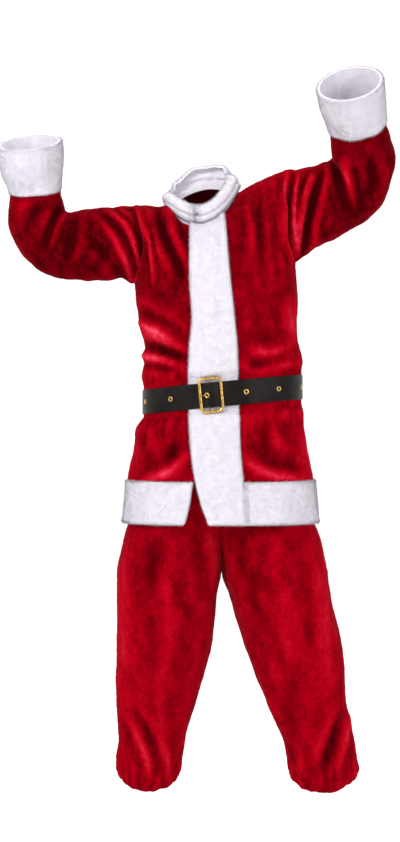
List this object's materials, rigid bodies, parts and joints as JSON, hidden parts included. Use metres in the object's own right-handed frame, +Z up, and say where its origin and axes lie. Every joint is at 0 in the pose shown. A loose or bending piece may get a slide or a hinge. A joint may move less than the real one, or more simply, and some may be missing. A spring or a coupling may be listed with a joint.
{
  "type": "santa suit, worn form: plush jacket, trousers and belt",
  "caption": "Hollow worn santa suit: red plush jacket with white fleece collar, front band, hem and cuffs, red trousers, and a black belt with a brass buckle.",
  "frame": {"origin": "middle of the neck, at the height of the neck seam's sides, where the worn jacket hangs on the wearer's shoulders", "axes": "+Z up, the front faces -Y, +X towards the wearer's left"},
  "size_m": [0.9411, 0.39, 1.7073],
  "materials": {
    "red_plush": "crushed plush pile, deep red with lighter brushed patches",
    "white_fleece": "short fluffy fleece, off-white",
    "black_leatherette": "black leatherette, fine grain, soft sheen",
    "brass": "cast and plated, satin polish"
  },
  "bodies": {
    "root": {"jacket_front_right": "red_plush", "jacket_front_left": "red_plush", "jacket_back": "red_plush", "sleeve_right": "red_plush", "sleeve_left": "red_plush", "trouser_front_right": "red_plush", "trouser_front_left": "red_plush", "trouser_back_right": "red_plush", "trouser_back_left": "red_plush", "waistband": "red_plush", "leg_casing_right": "red_plush", "leg_casing_left": "red_plush", "front_band": "white_fleece", "hem_band": "white_fleece", "cuff_right": "white_fleece", "cuff_left": "white_fleece", "collar": "white_fleece", "belt_strap": "black_leatherette", "buckle_frame": "brass", "buckle_prong": "brass", "eyelet_01": "brass", "eyelet_02": "brass", "eyelet_03": "brass", "eyelet_04": "brass", "eyelet_05": "brass", "eyelet_06": "brass", "eyelet_07": "brass", "eyelet_08": "brass", "eyelet_09": "brass", "eyelet_10": "brass", "eyelet_11": "brass", "eyelet_12": "brass"}
  },
  "joints": []
}
